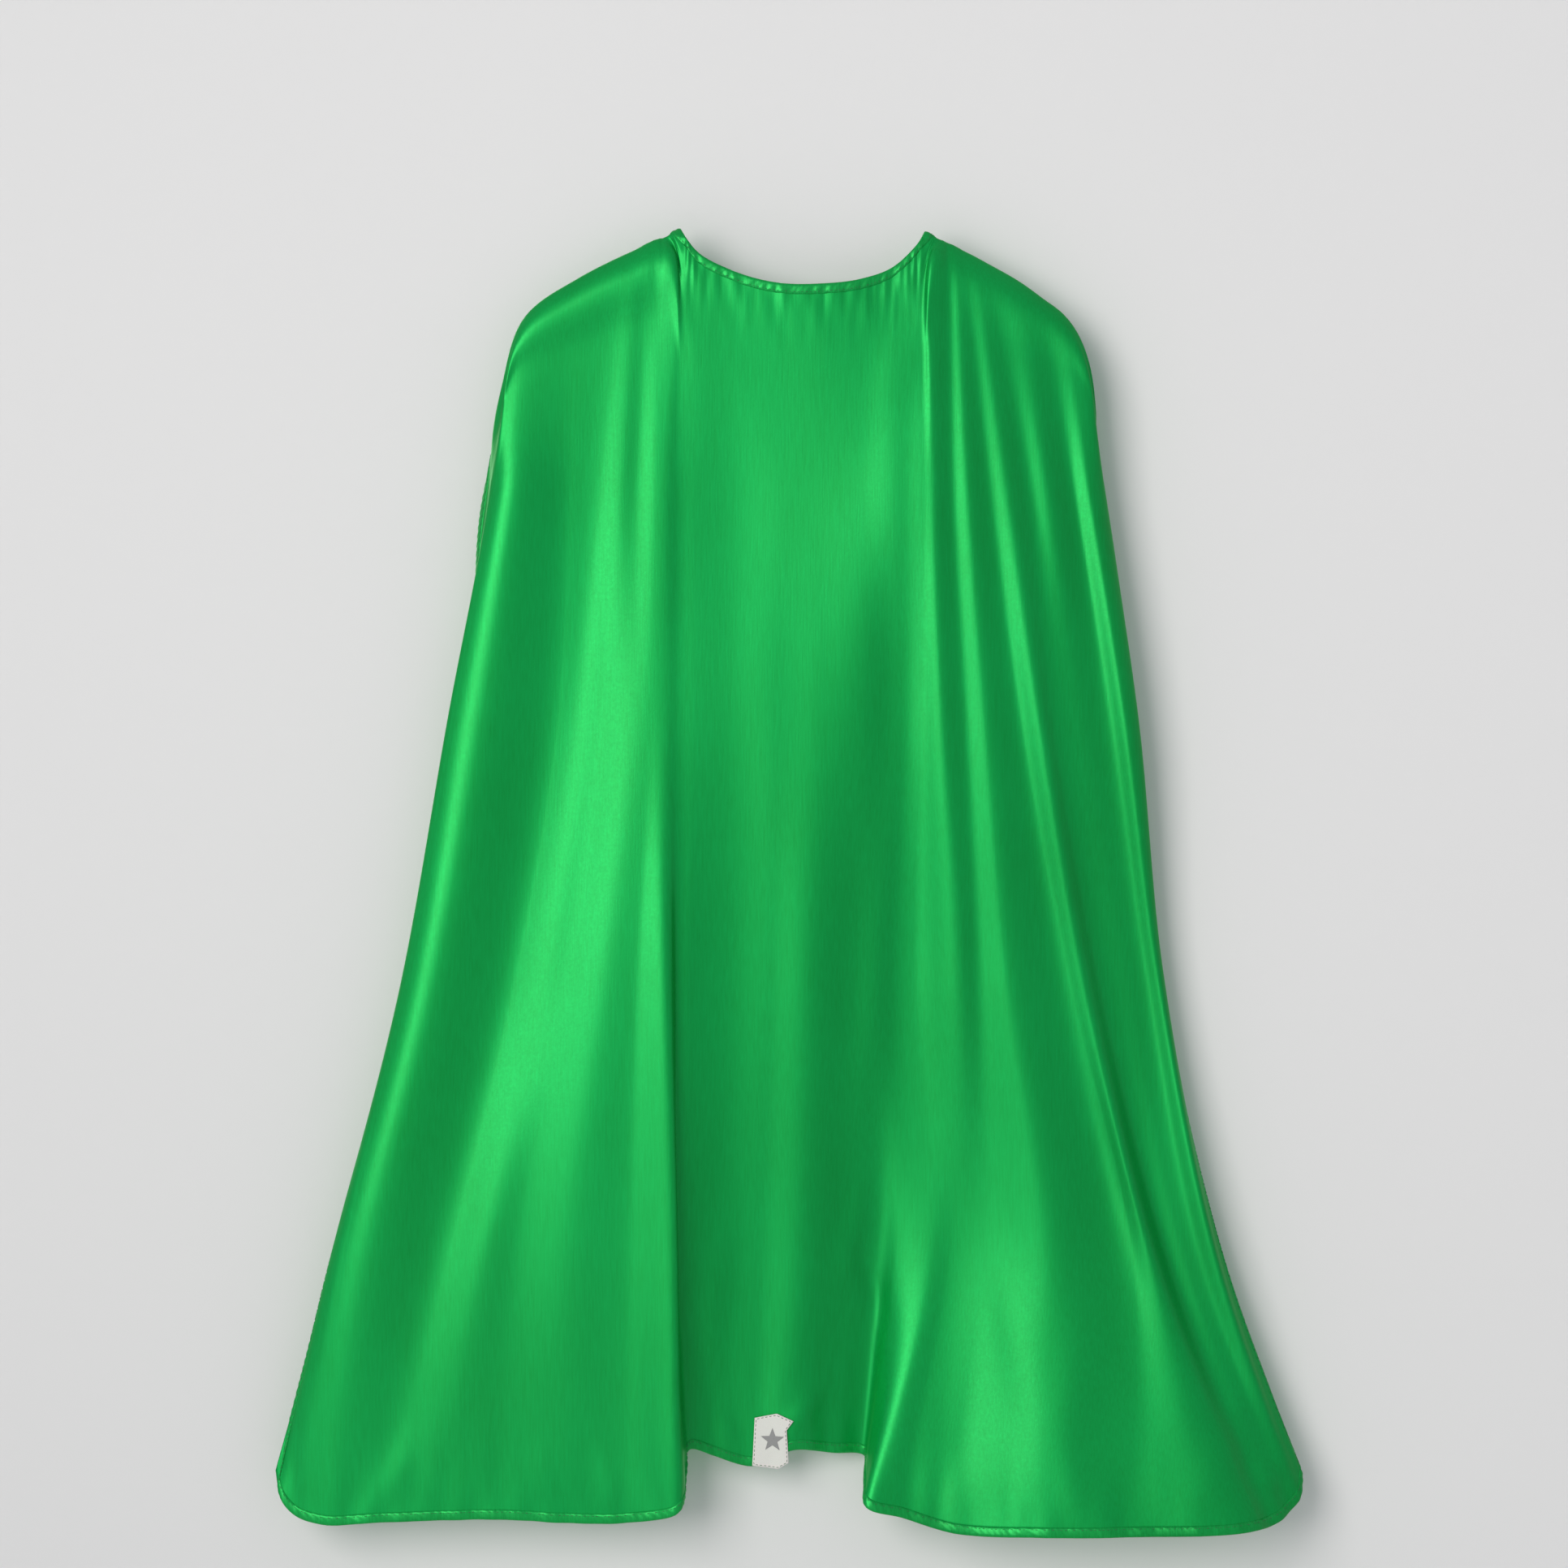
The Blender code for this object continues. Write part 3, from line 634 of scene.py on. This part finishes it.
# side, its cut, its bending line, depth, and the side of its strip (1 is towards the front)
Tab = namedtuple("Tab", "side cut bend y strip_side")
LOOP = Tab("loop", -60 * MM, -56 * MM, 12.0 * MM, 1)
HOOK = Tab("hook", 70 * MM, 66 * MM, 16.6 * MM, -1)


def inward_from(tab):
    """1 or -1: the way along X from a tab's cut to its round end."""
    return -math.copysign(1, tab.cut)


def tab_path(tab, inset_by):
    """Line round a tab, from the upper end of its cut to the lower end, inset all round."""
    inward = inward_from(tab)
    radius = TAB_HALF - inset_by
    centre = inward * (TAB_REACH - TAB_HALF)
    straight = np.linspace(tab.cut, centre, TAB_PATH_POINTS)
    turn = np.linspace(0, math.pi, TAB_PATH_POINTS)[1:-1]
    side = np.full(TAB_PATH_POINTS, radius)
    x = np.concatenate([straight, centre + inward * radius * np.sin(turn), straight[::-1]])
    z = np.concatenate([side, radius * np.cos(turn), -side])
    return np.stack([x, np.full(len(x), tab.y), TAB_MIDDLE + z], axis=-1)


def make_tab(tab):
    """The tab's own cloth: a strip with a round end, a little slack across its width."""
    inward = inward_from(tab)
    centre = inward * (TAB_REACH - TAB_HALF)
    x = np.linspace(tab.cut, inward * (TAB_REACH - TAB_TIP_GAP), TAB_COLUMNS)
    past = np.clip((x - centre) * inward, 0, TAB_HALF)
    half = np.sqrt(TAB_HALF ** 2 - past ** 2)
    share = np.linspace(1, -1, TAB_ROWS)
    z = TAB_MIDDLE + half[:, None] * share
    wide = np.repeat(x[:, None], TAB_ROWS, axis=1)
    slack = ground_noise(wide / TAB_SLACK_LENGTH, z / TAB_SLACK_WIDTH, SEED + 20)
    points = np.stack([wide, tab.y + slack * TAB_SLACK, z], axis=-1)
    cloth = mesh_object(tab.side + "_tab_cloth", points.reshape(-1, 3),
                        grid_faces(TAB_COLUMNS, TAB_ROWS), satin)
    add_uv(cloth, wide, z)
    solidify(cloth, CLOTH)
    return cloth


def bend_with(piece):
    """Bakes the piece's transform into its points; the piece is not attached to the tab or the
    cape.
    """
    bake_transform(piece)


STITCH_PITCH = 3.4 * MM
STITCH_LENGTH = 2.6 * MM
STITCH_RADIUS = 0.24 * MM
STITCH_DIP = 0.3 * MM         # the ends of a stitch go down into the cloth
STITCH_SIDES = 6
STITCH_SHOULDER = 0.6         # share of the way from a stitch's middle to its tip
STITCH_LINE = 3               # which sample of the binding's width the stitches follow
STITCH_HEIGHT = 0.75 * MM


def stitch_points(path, normals, height):
    """The points of each stitch: a tip, two rings round it, and a tip."""
    places = even_path(path, STITCH_PITCH)
    middles = (places[1:] + places[:-1]) / 2
    along = unit(read_path(path, places[1:]) - read_path(path, places[:-1]))[:, None]
    out = unit(read_path(normals, middles))[:, None]
    aside = np.cross(along, out)
    centre = read_path(path, middles)[:, None] + out * height
    turn = np.arange(STITCH_SIDES) * 2 * math.pi / STITCH_SIDES
    ring = (np.cos(turn)[:, None] * out + np.sin(turn)[:, None] * aside) * STITCH_RADIUS
    reach = along * STITCH_LENGTH / 2
    shoulder = reach * STITCH_SHOULDER
    dip = out * STITCH_DIP
    return np.concatenate([centre - reach - dip, centre - shoulder + ring,
                           centre + shoulder + ring, centre + reach - dip], axis=1)


def make_stitches(name, rows):
    """Rows of stitches in one piece. rows: (path, normals, height above the path)."""
    points = np.concatenate([stitch_points(*row) for row in rows])
    size = points.shape[1]
    around = np.arange(STITCH_SIDES)
    following = (around + 1) % STITCH_SIDES
    first_ring, second_ring = 1, 1 + STITCH_SIDES
    pattern = [(0, first_ring + b, first_ring + a) for a, b in zip(around, following)]
    pattern += [(first_ring + a, first_ring + b, second_ring + b, second_ring + a)
                for a, b in zip(around, following)]
    pattern += [(size - 1, second_ring + a, second_ring + b) for a, b in zip(around, following)]
    faces = repeated(pattern, len(points), size)
    stitches = mesh_object(name, points.reshape(-1, 3), faces, thread)
    return stitches


def binding_stitches(name, levels, normals):
    path, normal = levels[STITCH_LINE], normals[STITCH_LINE]
    return make_stitches(name, [(path, normal, STITCH_HEIGHT), (path, -normal, STITCH_HEIGHT)])


for name, levels, normal_levels in (("neck_stitches", neck_levels, neck_normals),
                                    ("edge_stitches", edge_levels, edge_normals)):
    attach(binding_stitches(name, levels, normal_levels), "cape")


# ---- Fastener strips

STRIP_LENGTH = 34 * MM
STRIP_WIDTH = 20 * MM
STRIP_BASE = 0.7 * MM         # thickness of the strip's woven base
STRIP_LIFT = 0.7 * MM         # from the tab's middle to the middle of the base
STRIP_COLUMNS, STRIP_ROWS = 36, 22
CORNER_PULL = 0.03            # share that the very corners of a strip are drawn in by
CORNER_POWER = 6              # how closely that keeps to the corners
WEAVE_PITCH = 5 * MM
WEAVE_HEIGHT = 0.04 * MM
STRIP_STITCH_INSET = 1.2 * MM
PILE_HEIGHT = 0.8 * MM
PILE_PITCH = 1.5 * MM
PILE_SCATTER = 0.25           # millimetres
PILE_RADIUS = 0.13 * MM

# One hook and one loop: (millimetres aside, share of the pile's height) of each ring of points
HOOK_SHAPE = ((0.0, 0.0), (0.15, 0.7), (0.5, 0.95), (0.85, 0.7))
LOOP_SHAPE = ((-0.6, 0.0), (-0.4, 0.75), (0.4, 0.75), (0.6, 0.0))


def make_strip_base(tab):
    """Woven base: a flat piece, drawn in a little at its corners."""
    x = np.linspace(-1, 1, STRIP_COLUMNS)[:, None] * STRIP_LENGTH / 2
    z = np.linspace(-1, 1, STRIP_ROWS)[None] * STRIP_WIDTH / 2
    x, z = np.broadcast_arrays(x, z)
    cornerness = np.abs(x * 2 / STRIP_LENGTH) * np.abs(z * 2 / STRIP_WIDTH)
    drawn_in = 1 - CORNER_PULL * cornerness ** CORNER_POWER
    weave = ground_noise(x / WEAVE_PITCH, z / WEAVE_PITCH, SEED + 30) * WEAVE_HEIGHT
    y = tab.y + tab.strip_side * STRIP_LIFT + weave
    points = np.stack([x * drawn_in, y, TAB_MIDDLE + z * drawn_in], axis=-1)
    base = mesh_object(tab.side + "_base", points.reshape(-1, 3),
                       grid_faces(STRIP_COLUMNS, STRIP_ROWS), fastener_weave)
    solidify(base, STRIP_BASE)
    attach(base, tab.side + "_tab")
    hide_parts(tab.side + "_strip")


def make_pile(tab):
    """The strip's face: leaning hooks on one strip, low loops of thread on the other."""
    rng = np.random.default_rng(SEED + 40)
    x, z = [np.arange(-size / 2 + PILE_PITCH, size / 2 - PILE_PITCH / 2, PILE_PITCH)
            for size in (STRIP_LENGTH, STRIP_WIDTH)]
    x, z = [side.ravel() for side in np.meshgrid(x, z)]
    y = np.full(len(x), tab.y + tab.strip_side * (STRIP_LIFT + STRIP_BASE / 2))
    foot = np.stack([x, y, TAB_MIDDLE + z], axis=-1)
    foot[:, [0, 2]] += rng.uniform(-PILE_SCATTER, PILE_SCATTER, (len(x), 2)) * MM
    turn = rng.uniform(0, 2 * math.pi, len(x)) if tab is LOOP else np.zeros(len(x))
    lean = np.stack([np.cos(turn), np.zeros(len(x)), np.sin(turn)], axis=-1)
    rise = np.array((0, tab.strip_side, 0))
    across = np.cross(lean, rise)
    corners = (across + lean, across - lean, -across - lean, -across + lean)
    rings = []
    for aside, height in HOOK_SHAPE if tab is HOOK else LOOP_SHAPE:
        middle = foot + lean * aside * MM + rise * height * PILE_HEIGHT
        rings.append(np.stack([middle + corner * PILE_RADIUS for corner in corners], axis=1))
    points = np.concatenate(rings, axis=1)
    size, sides = points.shape[1], len(corners)
    pattern = [(3, 2, 1, 0), tuple(range(size - sides, size))]
    for ring in range(0, size - sides, sides):
        pattern += [(ring + a, ring + (a + 1) % sides, ring + sides + (a + 1) % sides,
                     ring + sides + a) for a in range(sides)]
    faces = repeated(pattern, len(points), size)
    pile = mesh_object(tab.side + "_pile", points.reshape(-1, 3), faces, fastener_weave)
    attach(pile, tab.side + "_tab")


def strip_stitches(tab):
    """A box of stitches that holds the strip, seen on both faces of the tab."""
    side_x = STRIP_LENGTH / 2 - STRIP_STITCH_INSET
    side_z = STRIP_WIDTH / 2 - STRIP_STITCH_INSET
    corners = np.array([(-side_x, tab.y, -side_z), (side_x, tab.y, -side_z),
                        (side_x, tab.y, side_z), (-side_x, tab.y, side_z),
                        (-side_x, tab.y, -side_z)]) + np.array((0, 0, TAB_MIDDLE))
    front = np.tile((0.0, tab.strip_side, 0.0), (len(corners), 1))
    stitches = make_stitches(tab.side + "_strip_stitches",
                             [(corners, front, STRIP_LIFT + STRIP_BASE / 2),
                              (corners, -front, CLOTH / 2)])
    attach(stitches, tab.side + "_tab")


for tab in (LOOP, HOOK):
    cloth = make_tab(tab)
    bend_with(cloth)
    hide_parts(tab.side + "_tab")
    levels = [tab_path(tab, BINDING_WIDTH * share) for share in BINDING_SAMPLES]
    outward = [np.tile(TOWARDS_FRONT, (len(levels[0]), 1))] * len(levels)
    tape, levels, outward = make_binding(tab.side + "_tab_tape", levels, outward, TAB_SEED)
    bend_with(tape)
    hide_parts(tab.side + "_tab_binding")
    bend_with(binding_stitches(tab.side + "_tab_stitches", levels, outward))
    make_strip_base(tab)
    make_pile(tab)
    strip_stitches(tab)


# ---- Hem label

LABEL_LIFT = 1.9 * MM         # from the sheet's middle to the label's middle
LABEL_THICKNESS = 0.4 * MM
LABEL_COLUMNS, LABEL_ROWS = 25, 33
LABEL_BORDER = 2              # cells of the border, which has its own weave
LABEL_SMOOTHING = 3           # times that the label's depth is averaged over its neighbours
HANG_LIMIT = 40 * MM          # how far below the hem a piece can hang
HANG_STEP = 0.5 * MM
STAR_SPOKES, STAR_RINGS = 40, 6
STAR_POINTS = 5
STAR_THICKNESS = 0.25 * MM
STAR_LIFT = 0.35 * MM         # from the label's middle to the woven star's middle
STAR_CENTRE = (-19.0 * MM, -999.0 * MM)
STAR_RADIUS = 10.0 * MM
STAR_WAIST = 0.42             # the star's inner radius, as a share of its outer one

# The label's outline, in millimetres: (share of the width or height, x or z)
LABEL_TOP = ((0, -981), (0.57, -977), (1, -983))
LABEL_BOTTOM = ((0, -1020.5), (0.7, -1023), (1, -1017.5))
LABEL_LEFT = ((0, -33.7), (1, -35.7))
LABEL_RIGHT = ((0, -1.5), (0.22, -7.2), (0.55, -6.4), (1, -5.6))

cloth_tree = BVHTree.FromPolygons([Vector(point) for point in grid.reshape(-1, 3)],
                                  [tuple(face) for face in grid_faces(*grid.shape[:2])])


def on_cloth(x, z, lift):
    """Point on the outside of the cape at x and z; below the hem it hangs straight down."""
    step = 0.0
    while step < HANG_LIMIT:
        hit = cloth_tree.ray_cast(Vector((x, -1, z + step)), Vector((0, 1, 0)))[0]
        if hit is not None:
            return np.array((x, hit.y - lift, z))
        step += HANG_STEP
    raise ValueError("no cloth behind the label")


def outline(line, share):
    return np.interp(share, [place for place, _ in line], [value for _, value in line]) * MM


def make_label():
    """The woven label with its border, and the stitches that hold it."""
    across = np.linspace(0, 1, LABEL_COLUMNS)
    down = np.linspace(0, 1, LABEL_ROWS)
    points = np.empty((LABEL_COLUMNS, LABEL_ROWS, 3))
    for i, u in enumerate(across):
        for j, v in enumerate(down):
            x = outline(LABEL_LEFT, v) * (1 - u) + outline(LABEL_RIGHT, v) * u
            z = outline(LABEL_TOP, u) * (1 - v) + outline(LABEL_BOTTOM, u) * v
            points[i, j] = on_cloth(x, z, LABEL_LIFT)
    depth = points[..., 1]
    for _ in range(LABEL_SMOOTHING):
        depth[1:-1, 1:-1] = (depth[:-2, 1:-1] + depth[2:, 1:-1] + depth[1:-1, :-2]
                             + depth[1:-1, 2:]) / 4
    label = mesh_object("woven_label", points.reshape(-1, 3),
                        grid_faces(LABEL_COLUMNS, LABEL_ROWS), label_weave)
    label.data.materials.append(label_border)
    in_border = np.ones((LABEL_COLUMNS - 1, LABEL_ROWS - 1), np.int32)
    in_border[LABEL_BORDER:-LABEL_BORDER, LABEL_BORDER:-LABEL_BORDER] = 0
    label.data.polygons.foreach_set("material_index", in_border.ravel())
    solidify(label, LABEL_THICKNESS)
    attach(label, "cape")
    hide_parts("hem_label")
    inner = points[1:-1, 1:-1]
    path = np.concatenate([inner[:, 0], inner[-1, 1:], inner[-2::-1, -1], inner[0, -2::-1]])
    outward = np.tile(TOWARDS_BACK, (len(path), 1))
    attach(make_stitches("label_stitches", [(path, outward, 0.25 * MM)]), "cape")


def make_star():
    """A plain five-pointed star, standing in for the label's printed mark."""
    lift = LABEL_LIFT + STAR_LIFT
    half_point = math.pi / STAR_POINTS
    inner_x = STAR_WAIST * math.sin(half_point)
    inner_z = math.cos(half_point) * STAR_WAIST
    points = [on_cloth(*STAR_CENTRE, lift)]
    for ring in range(1, STAR_RINGS + 1):
        for turn in np.arange(STAR_SPOKES) * 2 * math.pi / STAR_SPOKES:
            near = abs((turn % (2 * half_point)) / (2 * half_point) * 2 - 1)
            angle = (1 - near) * math.pi / STAR_POINTS
            edge = inner_x / (inner_x * math.cos(angle) + (1 - inner_z) * math.sin(angle))
            radius = STAR_RADIUS * edge * ring / STAR_RINGS
            points.append(on_cloth(STAR_CENTRE[0] + radius * math.sin(turn),
                                   STAR_CENTRE[1] + radius * math.cos(turn), lift))
    spokes = [(a, (a + 1) % STAR_SPOKES) for a in range(STAR_SPOKES)]
    faces = [(0, 1 + b, 1 + a) for a, b in spokes]
    for start in range(1, 1 + (STAR_RINGS - 1) * STAR_SPOKES, STAR_SPOKES):
        following = start + STAR_SPOKES
        faces += [(start + a, start + b, following + b, following + a) for a, b in spokes]
    star = mesh_object("label_star", points, faces, mark_weave)
    solidify(star, STAR_THICKNESS)
    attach(star, "cape")


make_label()
make_star()


# ---- Camera, light and stage

CAMERA_PLACE = (-0.0094, -2.6, -0.456)
CAMERA_LENS = 72.3            # millimetres, on a 36 mm sensor
MIDDLE = (0, 0, -0.5)         # the lights point here
WALL_Y = 0.042
FLOOR_Z = -1.3
STAGE_REACH = 4.0
STAGE_FADE = 0.65             # the painted light that evens out the key light changes from the left to the right of the cape


def make_camera():
    """The camera looks level at the wearer's back."""
    camera = bpy.data.cameras.new("camera")
    camera.lens = CAMERA_LENS
    camera.sensor_width = 36
    thing = bpy.data.objects.new("camera", camera)
    bpy.context.scene.collection.objects.link(thing)
    thing.location = CAMERA_PLACE
    thing.rotation_euler = (math.pi / 2, 0, 0)
    bpy.context.scene.camera = thing


def area_light(name, place, size, power, colour=(1, 1, 1)):
    light = bpy.data.lights.new(name, "AREA")
    light.shape = "RECTANGLE"
    light.size, light.size_y = size
    light.energy = power
    light.color = colour
    thing = bpy.data.objects.new(name, light)
    bpy.context.scene.collection.objects.link(thing)
    thing.location = place
    thing.rotation_euler = (Vector(MIDDLE) - Vector(place)).to_track_quat("-Z", "Y").to_euler()


def stage_paint_with_painted_light(name, left, right):
    """Paint with painted light: lighter on the side away from the key light, to even out the key
    light's fall-off, and clear from behind.
    """
    made, nodes, links, shader = new_material(name)
    place = nodes.new("ShaderNodeTexCoord")
    parts = nodes.new("ShaderNodeSeparateXYZ")
    across = nodes.new("ShaderNodeMapRange")
    across.inputs["From Min"].default_value = -STAGE_FADE
    across.inputs["From Max"].default_value = STAGE_FADE
    links.new(place.outputs["Object"], parts.inputs["Vector"])
    links.new(parts.outputs["X"], across.inputs["Value"])
    # painted light: the colour runs from darker at the key light's side to lighter at the far side
    links.new(ramp(nodes, links, across.outputs["Result"], left, right, 0.0, 1.0),
              shader.inputs["Base Color"])
    shader.inputs["Roughness"].default_value = 0.95
    seen_from = nodes.new("ShaderNodeNewGeometry")
    clear = nodes.new("ShaderNodeBsdfTransparent")
    choose = nodes.new("ShaderNodeMixShader")
    links.new(seen_from.outputs["Backfacing"], choose.inputs["Fac"])
    links.new(shader.outputs["BSDF"], choose.inputs[1])
    links.new(clear.outputs["BSDF"], choose.inputs[2])
    links.new(choose.outputs["Shader"], nodes["Material Output"].inputs["Surface"])
    return made


def make_stage():
    """A wall close behind the cape, which throws no light on it, and a floor, both with painted
    light that makes them lighter on the side away from the key light.
    """
    reach = STAGE_REACH
    # Painted light: wall and floor are painted lighter towards the right, away from the key light.
    wall_paint_with_painted_light = stage_paint_with_painted_light(
        "wall_paint_with_painted_light", left=(0.64, 0.64, 0.645, 1), right=(0.815, 0.81, 0.81, 1))
    wall = mesh_object("wall", [(-reach, WALL_Y, FLOOR_Z), (reach, WALL_Y, FLOOR_Z),
                                (reach, WALL_Y, reach), (-reach, WALL_Y, reach)],
                       [(0, 1, 2, 3)], wall_paint_with_painted_light)
    floor_paint_with_painted_light = stage_paint_with_painted_light(
        "floor_paint_with_painted_light", left=(0.70, 0.70, 0.70, 1), right=(0.74, 0.74, 0.74, 1))
    floor = mesh_object("floor", [(-reach, -reach, FLOOR_Z), (reach, -reach, FLOOR_Z),
                                  (reach, reach, FLOOR_Z), (-reach, reach, FLOOR_Z)],
                        [(0, 1, 2, 3)], floor_paint_with_painted_light)
    wall.visible_shadow = False
    wall.visible_diffuse = False
    wall.visible_glossy = False


def make_world():
    world = bpy.data.worlds.new("studio")
    world.use_nodes = True
    background = world.node_tree.nodes["Background"]
    background.inputs["Color"].default_value = (0.93, 0.95, 1.0, 1)
    background.inputs["Strength"].default_value = 0.5
    bpy.context.scene.world = world


make_camera()
make_world()
make_stage()
area_light("key", place=(-1.7, -3.0, 0.3), size=(1.8, 2.4), power=80, colour=(1, 0.98, 0.94))
area_light("back", place=(-0.8, 2.6, 0.3), size=(2.0, 2.0), power=25)
bpy.context.scene.view_settings.view_transform = "Standard"
